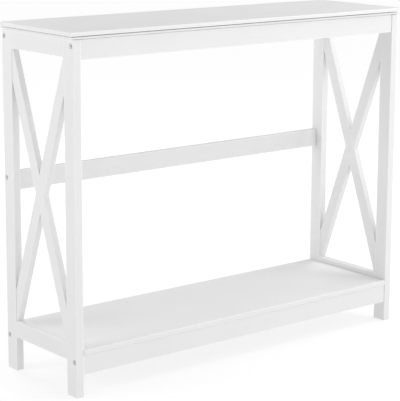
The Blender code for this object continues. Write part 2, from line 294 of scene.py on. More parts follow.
def cut(obj, cutters, operation="DIFFERENCE"):
    """Takes each cutter's solid out of the object, or keeps only what is inside it."""
    for cutter in cutters:
        cutter.hide_render = True
        modifier = obj.modifiers.new("cut", "BOOLEAN")
        modifier.operation = operation
        modifier.solver = "EXACT"
        modifier.material_mode = "TRANSFER"
        modifier.object = cutter
    graph = bpy.context.evaluated_depsgraph_get()
    done = bpy.data.meshes.new_from_object(
        obj.evaluated_get(graph), preserve_all_data_layers=True, depsgraph=graph
    )
    obj.modifiers.clear()
    old = obj.data
    obj.data = done
    bpy.data.meshes.remove(old)
    done.name = obj.name
    for cutter in cutters:
        shape = cutter.data
        bpy.data.objects.remove(cutter)
        bpy.data.meshes.remove(shape)
    if not done.polygons:
        raise RuntimeError(f"{obj.name} has no faces after cutting")


def finish_piece(obj, node):
    """Shades the piece and puts it in the frame in the node's place."""
    mesh = obj.data
    mesh.validate()
    mesh.polygons.foreach_set("use_smooth", np.ones(len(mesh.polygons), bool))
    mesh.set_sharp_from_angle(angle=SMOOTH_ANGLE)
    level = obj.modifiers.new("flat_faces_stay_flat", "WEIGHTED_NORMAL")
    level.keep_sharp = True
    level.weight = 60
    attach(obj, BODY)
    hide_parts(node)


def turned_cutter(place, direction, profile, material, around=40):
    """A cutter turned about the direction, from pairs of height and radius, starting at the bottom."""
    heights, radii = np.array(profile, float).T
    points, faces = turned_surface(place, direction, heights, radii[:, None], around)
    return add_object("drill", points, faces, material)


def drill(place, direction, depth, radius, material, chamfer=0.0, around=40):
    """A cutter for a round hole. The direction points out of it, and the chamfer widens its mouth."""
    profile = [(-depth, radius), (-chamfer, radius), (PAST, radius + chamfer + PAST)]
    if not chamfer:
        profile = [(-depth, radius), (PAST, radius)]
    return turned_cutter(place, direction, profile, material, around)


def block(low, high, material, turn=0.0, centre=(0, 0, 0)):
    """A plain cutting block, turned about the X axis through its centre."""
    outline = np.array([(1, 1), (-1, 1), (-1, -1), (1, -1)], float)
    low, high = np.asarray(low, float), np.asarray(high, float)
    half, middle = (high - low) / 2, (high + low) / 2
    rings = lay_along(np.stack([outline, outline]), np.array([-1.0, 1.0]), "Z") * half + middle
    points, faces = skin(rings)
    return add_object("block", turned_about_x(points, turn, centre), faces, material)


def turned_about_x(points, turn, centre):
    """Each point turned about the X axis through the centre."""
    across, up = math.cos(turn), math.sin(turn)
    spin = np.array([(1, 0, 0), (0, across, up), (0, -up, across)])
    return (np.asarray(points, float) - centre) @ spin + centre


# Finishes


def new_finish(name):
    """A new material, its node tree and its shader."""
    material = bpy.data.materials.new(name)
    material.use_nodes = True
    tree = material.node_tree
    return material, tree, tree.nodes["Principled BSDF"]


def add_node(tree, kind, **inputs):
    """A new node with the given socket values. An underscore stands for a space in a socket's name."""
    node = tree.nodes.new(kind)
    for name, value in inputs.items():
        node.inputs[name.replace("_", " ")].default_value = value
    return node


def board_coordinates(tree, turn, scale):
    """Object coordinates turned so that the board's length lies along the pattern's X, then scaled."""
    place = tree.nodes.new("ShaderNodeTexCoord")
    turned = tree.nodes.new("ShaderNodeMapping")
    turned.vector_type = "TEXTURE"
    turned.inputs["Rotation"].default_value = turn
    stretched = tree.nodes.new("ShaderNodeMapping")
    stretched.inputs["Scale"].default_value = scale
    tree.links.new(place.outputs["Object"], turned.inputs["Vector"])
    tree.links.new(turned.outputs["Vector"], stretched.inputs["Vector"])
    return turned.outputs["Vector"], stretched.outputs["Vector"]


def tinted(colour, shares):
    """The colour with its channels multiplied by the shares, and none above 1."""
    return tuple(np.minimum(np.array(colour[:]) * shares, 1.0))


def noise(tree, vector, scale, detail, roughness=0.5):
    """The grey value of a noise pattern over the coordinates."""
    node = add_node(tree, "ShaderNodeTexNoise", Scale=scale, Detail=detail, Roughness=roughness)
    tree.links.new(vector, node.inputs["Vector"])
    return node.outputs["Fac"]


def spread(tree, value, low, high, start=0.3, end=0.7):
    """The value from start..end becomes low..high."""
    node = tree.nodes.new("ShaderNodeMapRange")
    node.inputs["From Min"].default_value = start
    node.inputs["From Max"].default_value = end
    node.inputs["To Min"].default_value = low
    node.inputs["To Max"].default_value = high
    tree.links.new(value, node.inputs["Value"])
    return node.outputs["Result"]


def combine(tree, operation, first, second):
    """Two values added or multiplied, each of them a number or another node's output."""
    node = tree.nodes.new("ShaderNodeMath")
    node.operation = operation
    for socket, value in zip(node.inputs, (first, second)):
        if isinstance(value, (int, float)):
            socket.default_value = value
        else:
            tree.links.new(value, socket)
    return node.outputs["Value"]


def blend_colours(tree, factor, first, second):
    """The first colour where the factor is 0 and the second where it is 1."""
    node = tree.nodes.new("ShaderNodeMix")
    node.data_type = "RGBA"
    tree.links.new(factor, node.inputs["Factor"])
    for socket, value in zip((node.inputs[6], node.inputs[7]), (first, second)):
        if hasattr(value, "links"):
            tree.links.new(value, socket)
        else:
            socket.default_value = (*value, 1.0)
    return node.outputs[2]


def raise_surface(tree, height, distance, strength, below=None):
    """The surface raised by the height pattern, on top of an earlier relief if one is given."""
    node = add_node(tree, "ShaderNodeBump", Strength=strength, Distance=distance)
    tree.links.new(height, node.inputs["Height"])
    if below is not None:
        tree.links.new(below, node.inputs["Normal"])
    return node.outputs["Normal"]


def paint_finish(name, turn, colours):
    """Sprayed white satin paint over fine wood.

    Long faint grain shows through the film as a slight relief, the film pools and thins in soft
    clouds, the spray leaves a fine peel, and the eased edges are a little smoother and carry a painted
    highlight: their colour is lightened to stand in for the light that they catch.
    """
    material, tree, shader = new_finish(name)
    plain, stretched = board_coordinates(tree, turn, (5.0, 110.0, 110.0))
    grain = noise(tree, stretched, 1.0, 7.0, 0.62)
    pores = noise(tree, stretched, 6.0, 3.0, 0.5)
    clouds = noise(tree, plain, 11.0, 3.0, 0.5)
    peel = noise(tree, plain, 620.0, 2.0, 0.5)
    edge = tree.nodes.new("ShaderNodeAttribute")
    edge.attribute_name = "eased_edge"
    deep = tinted(colours.paint, 0.985)
    light = tinted(colours.paint, 1.008)
    # bright is a painted highlight: the paint's colour lightened to stand in for the light on eased edges.
    bright = tinted(colours.paint, 1.12)
    tone = combine(
        tree, "ADD", combine(tree, "MULTIPLY", clouds, 0.6), combine(tree, "MULTIPLY", grain, 0.4)
    )
    body = blend_colours(tree, spread(tree, tone, 0.0, 1.0, 0.35, 0.65), deep, light)
    # Painted highlight: the edge mask blends the eased edges towards the lighter colour.
    painted_edge_highlight = blend_colours(tree, combine(tree, "MULTIPLY", edge.outputs["Fac"], 0.6), body, bright)
    tree.links.new(painted_edge_highlight, shader.inputs["Base Color"])
    film = spread(tree, clouds, colours.paint_roughness - 0.04, colours.paint_roughness + 0.05)
    film = combine(tree, "ADD", film, spread(tree, peel, -0.015, 0.015))
    rubbed = combine(tree, "MULTIPLY", edge.outputs["Fac"], -0.07)
    tree.links.new(combine(tree, "ADD", film, rubbed), shader.inputs["Roughness"])
    relief = raise_surface(tree, grain, 0.00008, 0.35)
    relief = raise_surface(tree, pores, 0.00003, 0.5, relief)
    relief = raise_surface(tree, peel, 0.00002, 0.6, relief)
    tree.links.new(relief, shader.inputs["Normal"])
    shader.inputs["IOR"].default_value = 1.48
    return material


def core_finish(colours):
    """Bare wood inside a drilled hole: pale, fibrous and rough, with darker flecks."""
    material, tree, shader = new_finish("bare_core")
    plain, stretched = board_coordinates(tree, (0, 0, 0), (40.0, 420.0, 420.0))
    fibre = noise(tree, stretched, 1.0, 6.0, 0.65)
    fleck = noise(tree, plain, 900.0, 2.0, 0.5)
    light = colours.core
    dark = tinted(colours.core, (0.74, 0.68, 0.60))
    body = blend_colours(tree, spread(tree, fibre, 0.0, 1.0), light, dark)
    flecked = blend_colours(tree, spread(tree, fleck, 0.0, 0.35, 0.5, 0.75), body, dark)
    tree.links.new(flecked, shader.inputs["Base Color"])
    tree.links.new(spread(tree, fibre, 0.72, 0.9), shader.inputs["Roughness"])
    relief = raise_surface(tree, fibre, 0.0003, 0.7)
    tree.links.new(relief, shader.inputs["Normal"])
    return material


def beech_finish(name, turn, colours):
    """Turned beech: long grain with fine dark rays, a little rough from the cutter."""
    material, tree, shader = new_finish(name)
    plain, stretched = board_coordinates(tree, turn, (45.0, 700.0, 700.0))
    grain = noise(tree, stretched, 1.0, 6.0, 0.6)
    rays = noise(tree, stretched, 3.5, 2.0, 0.5)
    tool = noise(tree, plain, 1500.0, 2.0, 0.5)
    light = colours.beech
    dark = tinted(colours.beech, (0.80, 0.71, 0.62))
    ray = tinted(colours.beech, (0.55, 0.42, 0.32))
    body = blend_colours(tree, spread(tree, grain, 0.0, 1.0), light, dark)
    rayed = blend_colours(tree, spread(tree, rays, 0.0, 0.8, 0.62, 0.74), body, ray)
    tree.links.new(rayed, shader.inputs["Base Color"])
    tree.links.new(spread(tree, tool, 0.5, 0.66), shader.inputs["Roughness"])
    relief = raise_surface(tree, grain, 0.0002, 0.6)
    relief = raise_surface(tree, tool, 0.00004, 0.5, relief)
    tree.links.new(relief, shader.inputs["Normal"])
    return material


def steel_finish(colours):
    """Zinc-plated steel: cool and bright, with soft cloudy patches, fine tool marks and duller spots."""
    material, tree, shader = new_finish("zinc_plate")
    plain, stretched = board_coordinates(tree, (0, 0, 0), (2600.0, 300.0, 300.0))
    clouds = noise(tree, plain, 260.0, 4.0, 0.6)
    marks = noise(tree, stretched, 1.0, 3.0, 0.5)
    spots = noise(tree, plain, 1400.0, 2.0, 0.5)
    light = colours.zinc
    dark = tinted(colours.zinc, (0.80, 0.82, 0.86))
    body = blend_colours(tree, spread(tree, clouds, 0.0, 1.0), light, dark)
    spotted = blend_colours(tree, spread(tree, spots, 0.0, 0.5, 0.6, 0.75), body, dark)
    tree.links.new(spotted, shader.inputs["Base Color"])
    shader.inputs["Metallic"].default_value = 1.0
    tree.links.new(spread(tree, clouds, 0.34, 0.50), shader.inputs["Roughness"])
    relief = raise_surface(tree, marks, 0.00002, 0.4)
    tree.links.new(relief, shader.inputs["Normal"])
    return material


def finishes(context):
    """All the finishes, made once and then looked up by name."""
    colours = context.scene.console_colours
    lean = context.scene.console_sizes.brace_angle
    quarter = math.pi / 2
    makers = {
        "paint_x": lambda: paint_finish("paint_x", (0, 0, 0), colours),
        "paint_y": lambda: paint_finish("paint_y", (0, 0, quarter), colours),
        "paint_z": lambda: paint_finish("paint_z", (0, -quarter, 0), colours),
        "paint_front": lambda: paint_finish("paint_front", (lean, -quarter, 0), colours),
        "paint_back": lambda: paint_finish("paint_back", (-lean, -quarter, 0), colours),
        "bare_core": lambda: core_finish(colours),
        "beech_x": lambda: beech_finish("beech_x", (0, 0, 0), colours),
        "beech_z": lambda: beech_finish("beech_z", (0, -quarter, 0), colours),
        "zinc_plate": lambda: steel_finish(colours),
    }
    for name, maker in makers.items():
        if name not in bpy.data.materials:
            maker()
    return {name: bpy.data.materials[name] for name in makers}


# Settings


class ConsoleSizes(bpy.types.PropertyGroup):
    """Edges, grooves, gaps and threads, which the frame's plain solids don't have"""

    top_edge: bpy.props.FloatProperty(
        name="Top edge",
        description="Radius of the tabletop's upper edge",
        default=0.0016,
        min=0.0002,
        max=0.004,
        unit="LENGTH",
    )
    layer_edge: bpy.props.FloatProperty(
        name="Layer edge",
        description="Radius of the lower edges of the tabletop's two layers",
        default=0.0007,
        min=0.0001,
        max=0.002,
        unit="LENGTH",
    )
    leg_edge: bpy.props.FloatProperty(
        name="Leg edge",
        description="Radius of the legs' long edges",
        default=0.0012,
        min=0.0002,
        max=0.004,
        unit="LENGTH",
    )
    board_edge: bpy.props.FloatProperty(
        name="Board edge",
        description="Radius of the edges of rails, braces and shelf",
        default=0.0010,
        min=0.0002,
        max=0.003,
        unit="LENGTH",
    )
    slab_thickness: bpy.props.FloatProperty(
        name="Slab thickness",
        description="Thickness of the overhanging upper layer of the top",
        default=0.0085,
        min=0.004,
        max=0.015,
        unit="LENGTH",
    )
    layer_groove: bpy.props.FloatProperty(
        name="Layer groove",
        description="Height of the shadow groove between the top's two layers",
        default=0.0025,
        min=0.0004,
        max=0.004,
        unit="LENGTH",
    )
    frame_groove: bpy.props.FloatProperty(
        name="Frame groove",
        description="Height of the shadow groove between the top and the frame",
        default=0.0020,
        min=0.0004,
        max=0.003,
        unit="LENGTH",
    )
    groove_depth: bpy.props.FloatProperty(
        name="Groove depth",
        description="How far the top's shadow grooves go in",
        default=0.0060,
        min=0.001,
        max=0.010,
        unit="LENGTH",
    )
    plan_corner: bpy.props.FloatProperty(
        name="Top corner",
        description="Radius of the top's corners as seen from above",
        default=0.0014,
        min=0.0002,
        max=0.010,
        unit="LENGTH",
    )
    flush_edge: bpy.props.FloatProperty(
        name="Flush edge",
        description="Radius left on an edge where two boards meet in one face",
        default=0.0001,
        min=0.00002,
        max=0.001,
        unit="LENGTH",
    )
    shelf_gap: bpy.props.FloatProperty(
        name="Shelf gap",
        description="Gap between each end of the shelf and the end frame",
        default=0.0011,
        min=0.0002,
        max=0.002,
        unit="LENGTH",
    )
    shelf_joint: bpy.props.FloatProperty(
        name="Shelf joint",
        description="Height of the shadow line between the shelf and its rails",
        default=0.0006,
        min=0.0,
        max=0.002,
        unit="LENGTH",
    )
    rail_gap: bpy.props.FloatProperty(
        name="Rail gap",
        description="Gap between each end of a long rail and the leg",
        default=0.0006,
        min=0.0002,
        max=0.002,
        unit="LENGTH",
    )
    end_edge: bpy.props.FloatProperty(
        name="End edge",
        description="Radius of the edges at the ends of the shelf and the long rails",
        default=0.0005,
        min=0.0002,
        max=0.003,
        unit="LENGTH",
    )
    # Besides the flat strip beside each eased edge, this sets how far the painted highlight on that edge
    # fades out, along with its smoother paint.
    edge_band: bpy.props.FloatProperty(
        name="Edge band",
        description="How far from an eased edge the paint still looks thinner",
        default=0.0025,
        min=0.0005,
        max=0.003,
        unit="LENGTH",
    )
    brace_width: bpy.props.FloatProperty(
        name="Brace width",
        description="Width of the crossed braces",
        default=0.030,
        min=0.010,
        max=0.060,
        unit="LENGTH",
    )
    brace_angle: bpy.props.FloatProperty(
        name="Brace angle",
        description="Lean of the crossed braces from upright",
        default=math.radians(20.1),
        min=0.1,
        max=1.2,
        subtype="ANGLE",
    )
    bolt_pitch: bpy.props.FloatProperty(
        name="Bolt pitch",
        description="Distance between the ridges of the bolts' thread",
        default=0.001,
        min=0.0005,
        max=0.002,
        unit="LENGTH",
    )
    screw_pitch: bpy.props.FloatProperty(
        name="Screw pitch",
        description="Distance between the ridges of the wood screws' thread",
        default=0.0018,
        min=0.0008,
        max=0.003,
        unit="LENGTH",
    )


class ConsoleColours(bpy.types.PropertyGroup):
    """Colours of the paint, the bare wood, the metal and the floor"""

    paint: bpy.props.FloatVectorProperty(
        name="Paint",
        description="Colour of the painted wood",
        default=(0.78, 0.78, 0.78),
        min=0.0,
        max=1.0,
        subtype="COLOR",
    )
    paint_roughness: bpy.props.FloatProperty(
        name="Paint roughness",
        description="How dull the paint is",
        default=0.42,
        min=0.1,
        max=0.9,
        subtype="FACTOR",
    )
    core: bpy.props.FloatVectorProperty(
        name="Bare core",
        description="Colour of the bare wood inside drilled holes",
        default=(0.60, 0.46, 0.31),
        min=0.0,
        max=1.0,
        subtype="COLOR",
    )
    beech: bpy.props.FloatVectorProperty(
        name="Beech",
        description="Colour of the dowels and pegs",
        default=(0.64, 0.46, 0.28),
        min=0.0,
        max=1.0,
        subtype="COLOR",
    )
    zinc: bpy.props.FloatVectorProperty(
        name="Zinc plate",
        description="Colour of the bolts, barrel nuts and screws",
        default=(0.80, 0.81, 0.83),
        min=0.0,
        max=1.0,
        subtype="COLOR",
    )
    floor: bpy.props.FloatVectorProperty(
        name="Floor",
        description="Colour of the plain floor",
        default=(0.35, 0.35, 0.35),
        min=0.0,
        max=1.0,
        subtype="COLOR",
    )


class ConsoleStage(bpy.types.PropertyGroup):
    """The floor's size and glow, the lights' powers and the camera's place"""

    floor_size: bpy.props.FloatProperty(
        name="Floor size",
        description="Length of each side of the floor",
        default=80.0,
        min=5.0,
        max=500.0,
        unit="LENGTH",
    )
    near_glow: bpy.props.FloatProperty(
        name="Near glow",
        description="Light that the floor gives off by itself around the table",
        default=0.66,
        min=0.0,
        max=2.0,
    )
    far_glow: bpy.props.FloatProperty(
        name="Far glow",
        description="Light that the floor gives off by itself away from the table",
        default=0.77,
        min=0.0,
        max=2.0,
    )
    sky: bpy.props.FloatProperty(
        name="Sky",
        description="Brightness of the even light from all round",
        default=0.575,
        min=0.0,
        max=5.0,
    )
    light_distance: bpy.props.FloatProperty(
        name="Light distance",
        description="Distance of each light from the table's middle",
        default=3.0,
        min=1.0,
        max=20.0,
        unit="LENGTH",
    )
    light_size: bpy.props.FloatProperty(
        name="Light size",
        description="Length of each side of a light",
        default=1.4,
        min=0.1,
        max=5.0,
        unit="LENGTH",
    )
    right_power: bpy.props.FloatProperty(
        name="Right light", description="Power in watts", default=8.7, min=0.0, max=2000.0
    )
    high_power: bpy.props.FloatProperty(
        name="High right light", description="Power in watts", default=22.0, min=0.0, max=2000.0
    )
    left_power: bpy.props.FloatProperty(
        name="Left light", description="Power in watts", default=19.0, min=0.0, max=2000.0
    )
    back_power: bpy.props.FloatProperty(
        name="Back light", description="Power in watts", default=24.6, min=0.0, max=2000.0
    )
    front_power: bpy.props.FloatProperty(
        name="Front light", description="Power in watts", default=10.0, min=0.0, max=2000.0
    )
    corner_power: bpy.props.FloatProperty(
        name="Front right light", description="Power in watts", default=12.4, min=0.0, max=2000.0
    )
    lens: bpy.props.FloatProperty(
        name="Lens",
        description="Focal length in millimetres on a 36 mm sensor",
        default=137.0,
        min=10.0,
        max=400.0,
        subtype="DISTANCE_CAMERA",
    )
    camera_place: bpy.props.FloatVectorProperty(
        name="Camera place",
        description="Where the camera stands",
        default=(-2.293, -2.794, 1.147),
        subtype="XYZ",
        unit="LENGTH",
    )
    camera_turn: bpy.props.FloatVectorProperty(
        name="Camera turn",
        description="Camera's turn from +Y towards +X, tilt below level, and roll",
        default=(math.radians(39.01), math.radians(10.83), math.radians(0.25)),
        subtype="EULER",
        unit="ROTATION",
    )
    shift_y: bpy.props.FloatProperty(
        name="Shift",
        description="Upward shift of the lens, as a share of the frame",
        default=-0.10,
        min=-1.0,
        max=1.0,
    )


# Pieces


class CONSOLE_OT_tabletop(bpy.types.Operator):
    """Build the tabletop: an overhanging slab over a smaller layer, with eased edges"""

    bl_idname = "console_table.tabletop"
    bl_label = "Tabletop"

    def execute(self, context):
        sizes = context.scene.console_sizes
        finish = finishes(context)
        low, high = box_of("tabletop")
        leg_low, leg_high = box_of("left_front_leg")
        surface = tabletop_surface(low, high, leg_low, leg_high, sizes)
        top = add_board("tabletop", surface, finish["paint_x"])
        holes = []
        for node in top_screws():
            tip = box_of(node)[1][2]
            x, y, _ = middle_of(node)
            depth = tip - leg_high[2]
            holes.append(drill((x, y, leg_high[2]), (0, 0, -1), depth, SCREW_PILOT, finish["bare_core"]))
        cut(top, holes)
        finish_piece(top, "tabletop")
        return {"FINISHED"}


def tabletop_surface(low, high, leg_low, leg_high, sizes):
    """The top as one surface: outlines carried along its edge profile, from underneath to the top face.

    The profile starts at a shallow groove over the frame, goes round the lower layer's bottom edge, up
    its side, in and out of the groove between the layers, round the slab's lower edge, up its side and
    round the upper edge. Each edge is a quarter circle: in by r(1 - sin t) and up by r(1 - cos t), or
    the same turned over for an upper edge.
    """
    band = sizes.edge_band
    small = sizes.layer_edge
    large = sizes.top_edge
    middle = (low + high) / 2
    slab = (high - low) / 2
    layer = LAYER_OVERHANG - leg_low[:2]
    base = leg_high[2] + TOUCH
    step = high[2] - sizes.slab_thickness
    lip = base + sizes.frame_groove
    ledge = step - sizes.layer_groove
    t = np.linspace(0, math.pi / 2, ARC_STEPS + 1)
    lower_in = small * (1 - np.sin(t))
    lower_up = small * (1 - np.cos(t))
    upper_in = np.array([[1.0], [0.4]]) * small * (1 - np.cos(t))
    groove = sizes.groove_depth
    shallow = layer + (groove - END_GROOVE_DEPTH, 0)
    strip = small + 0.0006  # how far in the flat strip beside a lower edge ends
    sliver = 0.0001  # keeps each corner of a groove sharp
    # Each entry is the size it starts from, how far in it is and at what height, and its edge mask,
    # which is -1 on a flat face. The groove over the frame is shallower at the two ends.
    steps = (
        (shallow, [groove + 0.004, groove], [base, base], -1),
        (shallow, [groove, groove], [base + sliver, lip - sliver], -1),
        (layer, [strip], [lip], -1),
        (layer, lower_in, lip + lower_up, 1),
        (layer, [0.0], [(lip + ledge) / 2], 0),
        (layer, upper_in[1], ledge - 0.4 * small * (1 - np.sin(t)), 1),
        (layer, [strip, groove, groove], [ledge, ledge + sliver, step - sliver], -1),
        (slab, [strip + 0.0006], [step], -1),
        (slab, lower_in, step + lower_up, 1),
        (slab, [0.0], [(step + high[2]) / 2], 0),
        (slab, large * (1 - np.cos(t)), high[2] - large * (1 - np.sin(t)), 1),
        (slab, [large + band], [high[2]], -1),
    )
    half = np.concatenate([np.broadcast_to(size[:2], (len(inward), 2)) for size, inward, _, _ in steps])
    inward = np.concatenate([np.asarray(inward) for _, inward, _, _ in steps])
    levels = np.concatenate([np.asarray(heights) for _, _, heights, _ in steps])
    eased = np.concatenate([np.full(len(inward), float(mask)) for _, inward, _, mask in steps])
    radii = np.maximum(sizes.plan_corner - inward, 3e-5)[:, None] * np.ones(4)
    outlines, on_arc = corner_outlines(half[:, 0] - inward, half[:, 1] - inward, radii, band)
    points, faces = skin(lay_along(outlines + middle[:2], levels, "Z"))
    return points, faces, edge_mask(eased, on_arc)


def top_screws():
    """The frame's nodes for the screws that hold the top."""
    sides = [f"{side}_{end}_top_screw" for side in SIDES for end in ENDS]
    return [*MIDDLE_SCREWS, *sides]


class CONSOLE_OT_legs(bpy.types.Operator):
    """Build the four legs, with counterbored holes for the bolts and blind holes for the dowels"""

    bl_idname = "console_table.legs"
    bl_label = "Legs"

    def execute(self, context):
        for side, sx in SIDES.items():
            for end, sy in ENDS.items():
                make_leg(context, side, sx, end, sy)
        return {"FINISHED"}


def make_leg(context, side, sx, end, sy):
    """A leg whose two inner edges fade out along the side rails, which are flush with it."""
    sizes = context.scene.console_sizes
    finish = finishes(context)
    node = f"{side}_{end}_leg"
    low, high = box_of(node)
    high[2] = box_of("tabletop")[0][2]
    lower = box_of(f"{side}_bottom_side_rail")
    upper = box_of(f"{side}_top_side_rail")
    rise = sizes.board_edge
    at = [lower[0][2], lower[0][2] + rise, lower[1][2] - rise, lower[1][2], upper[0][2], upper[0][2] + rise]
    full, flush = sizes.leg_edge, sizes.flush_edge
    kept = [full, flush, flush, full, full, flush]
    inner = CORNER_B * sy < 0

    def radii_at(levels):
        fading = np.interp(levels, at, kept)
        return np.where(inner[None, :], fading[:, None], full)

    ends = (LEG_FOOT_EDGE, LEG_TOP_EDGE)
    surface = board_surface(low, high, "Z", radii_at, ends, sizes.edge_band, at)
    leg = add_board(node, surface, finish["paint_z"])
    inner_x, outer_x = sorted((low[0], high[0]), key=abs)
    holes = []
    for rail in [rail for rail, rail_sy in RAILS.items() if rail_sy == sy]:
        _, bolt_y, bolt_z = middle_of(f"{side}_{rail}_bolt")
        chamfer = 0.0005
        stepped = (
            (-BOLT_DEPTH_IN_LEG, BOLT_HOLE),
            (-COUNTERBORE_DEPTH, BOLT_HOLE),
            (-COUNTERBORE_DEPTH, COUNTERBORE),
            (-chamfer, COUNTERBORE),
            (PAST, COUNTERBORE + chamfer + PAST),
        )
        holes.append(turned_cutter((outer_x, bolt_y, bolt_z), (sx, 0, 0), stepped, finish["paint_z"], 48))
        _, dowel_y, dowel_z = middle_of(f"{side}_{rail}_dowel")
        place = (inner_x, dowel_y, dowel_z)
        holes.append(drill(place, (-sx, 0, 0), DOWEL_DEPTH_IN_LEG, DOWEL_HOLE, finish["bare_core"]))
    cut(leg, holes)
    finish_piece(leg, node)


class CONSOLE_OT_side_rails(bpy.types.Operator):
    """Build the rails that close each end frame at the top and at shelf height"""

    bl_idname = "console_table.side_rails"
    bl_label = "Side Rails"

    def execute(self, context):
        for side in SIDES:
            for level in ("top", "bottom"):
                make_side_rail(context, side, level)
        return {"FINISHED"}


def make_side_rail(context, side, level):
    """A rail between two legs. The upper one goes up to the tabletop and has two screw wells."""
    sizes = context.scene.console_sizes
    finish = finishes(context)
    node = f"{side}_{level}_side_rail"
    low, high = box_of(node)
    top = box_of("tabletop")[0][2]
    reach = abs(box_of(f"{side}_front_leg")[1][1])
    low[1], high[1] = -reach, reach
    full = sizes.board_edge
    corners = np.full(4, full)
    if level == "top":
        high[2] = top
        corners = np.array([LEG_TOP_EDGE, full, full, LEG_TOP_EDGE])
    surface = board_surface(low, high, "Y", fixed_radii(corners), (0, 0), sizes.edge_band)
    rail = add_board(node, surface, finish["paint_y"])
    if level == "top":
        holes = []
        for end in ENDS:
            holes.extend(drill_screw_well(f"{side}_{end}_top_screw", low[2], top, finish["bare_core"]))
        cut(rail, holes)
    finish_piece(rail, node)


def drill_screw_well(node, underside, top, core):
    """The wide well for a screw's head, from below, and the narrow hole on to the top."""
    seat = box_of(node)[0][2] + SCREW_HEAD
    x, y, _ = middle_of(node)
    well_depth = seat + TOUCH - underside
    well = drill((x, y, underside), (0, 0, -1), well_depth, SCREW_WELL, core, 0.0004)
    hole = drill((x, y, top), (0, 0, 1), top - seat + PAST, SCREW_HOLE, core, around=24)
    return well, hole


class CONSOLE_OT_braces(bpy.types.Operator):
    """Build the crossed braces, halved into each other so that both faces stay flush"""

    bl_idname = "console_table.braces"
    bl_label = "Crossed Braces"

    def execute(self, context):
        for side, sx in SIDES.items():
            for end, sy in ENDS.items():
                make_brace(context, side, sx, end, sy)
        return {"FINISHED"}


def make_brace(context, side, sx, end, sy):
    """A leaning board, clipped to the end frame's opening and halved at the crossing.

    Along the crossing, the edge of the half that it keeps fades out, because the other brace goes on
    in the same face. On the edge at half width w that stretch runs from (w cos 2a - w)/sin 2a to
    (w cos 2a + w)/sin 2a, where a is the lean, and on the other edge it is the same turned round.
    """
    sizes = context.scene.console_sizes
    finish = finishes(context)
    node = f"{side}_brace_to_{end}_top"
    low, high = box_of(node)
    lower = box_of(f"{side}_bottom_side_rail")
    upper = box_of(f"{side}_top_side_rail")
    reach_y = abs(box_of(f"{side}_front_leg")[1][1])
    floor_z, roof_z = lower[1][2], upper[0][2]
    middle = np.array([(low[0] + high[0]) / 2, 0.0, (floor_z + roof_z) / 2])
    half_x = (high[0] - low[0]) / 2
    w = sizes.brace_width / 2
    lean = sizes.brace_angle
    reach = (roof_z - floor_z) / 2 / math.cos(lean) + 2 * w
    near = (w * math.cos(2 * lean) - w) / math.sin(2 * lean)
    far = (w * math.cos(2 * lean) + w) / math.sin(2 * lean)
    full, flush, rise = sizes.board_edge, sizes.flush_edge, 0.0012
    upward = middle[2] + np.array([near, near + rise, far - rise, far])
    downward = middle[2] - np.array([far, far - rise, near + rise, near])
    kept = [full, flush, flush, full]
    shown = -sx * sy
    rising = -sy * CORNER_B > 0

    def radii_at(levels):
        up = np.interp(levels, upward, kept)[:, None]
        down = np.interp(levels, downward, kept)[:, None]
        fading = np.where(rising[None, :], up, down)
        return np.where((CORNER_A == shown)[None, :], fading, full)

    stations = np.concatenate([upward, downward])
    half = np.array([half_x, w, reach])
    points, faces, edge = board_surface(
        middle - half, middle + half, "Z", radii_at, (0, 0), sizes.edge_band, stations
    )
    turn = -sy * lean
    paint = finish[f"paint_{end}"]
    brace = add_board(node, (turned_about_x(points, turn, middle), faces, edge), paint)
    side_x = half_x + 2 * PAST
    opening = block((middle[0] - side_x, -reach_y, floor_z), (middle[0] + side_x, reach_y, roof_z), paint)
    cut(brace, [opening], "INTERSECT")
    inner_x, outer_x = sorted((middle[0], middle[0] - shown * side_x))
    lap_low = (inner_x, middle[1] - w, middle[2] - 4 * w)
    lap_high = (outer_x, middle[1] + w, middle[2] + 4 * w)
    cut(brace, [block(lap_low, lap_high, paint, -turn, middle)])
    finish_piece(brace, node)


class CONSOLE_OT_long_rails(bpy.types.Operator):
    """Build the aprons, the back stretcher and the shelf rails, drilled for bolts, nuts and dowels"""

    bl_idname = "console_table.long_rails"
    bl_label = "Long Rails"

    def execute(self, context):
        for node, sy in RAILS.items():
            make_long_rail(context, node, sy)
        return {"FINISHED"}


def make_long_rail(context, node, sy):
    """A rail between the legs, with a through hole for each barrel nut's way in from the back."""
    sizes = context.scene.console_sizes
    finish = finishes(context)
    low, high = box_of(node)
    leg_face = abs(box_of("left_front_leg")[1][0])
    reach = leg_face - sizes.rail_gap
    top = box_of("tabletop")[0][2]
    low[0], high[0] = -reach, reach
    corners = np.full(4, sizes.board_edge)
    if node.endswith("apron"):
        high[2] = top
    if node.endswith("shelf_rail"):
        corners[:2] = sizes.layer_edge
    ends = (sizes.end_edge, sizes.end_edge)
    surface = board_surface(low, high, "X", fixed_radii(corners), ends, sizes.edge_band)
    rail = add_board(node, surface, finish["paint_x"])
    core = finish["bare_core"]
    back = high[1]
    holes = []
    for side, sx in SIDES.items():
        end_x = sx * leg_face
        nut = middle_of(f"{side}_{node}_barrel_nut")
        nut_depth = back - box_of(f"{side}_{node}_barrel_nut")[0][1] + TOUCH
        dowel = middle_of(f"{side}_{node}_dowel")
        holes.append(drill((end_x, nut[1], nut[2]), (sx, 0, 0), BOLT_DEPTH_IN_RAIL, BOLT_HOLE, core))
        holes.append(drill((nut[0], back, nut[2]), (0, 1, 0), nut_depth, NUT_HOLE, core, 0.0003, 48))
        holes.append(drill((end_x, dowel[1], dowel[2]), (sx, 0, 0), DOWEL_DEPTH_IN_RAIL, DOWEL_HOLE, core))
    for screw, rail_name in MIDDLE_SCREWS.items():
        if rail_name == node:
            holes.extend(drill_screw_well(screw, low[2], top, core))
    if node.endswith("shelf_rail"):
        end = "front" if sy < 0 else "back"
        for side in SIDES:
            holes.append(drill_peg_hole(f"{side}_{end}_shelf_peg", high[2], 1, core))
    cut(rail, holes)
    finish_piece(rail, node)


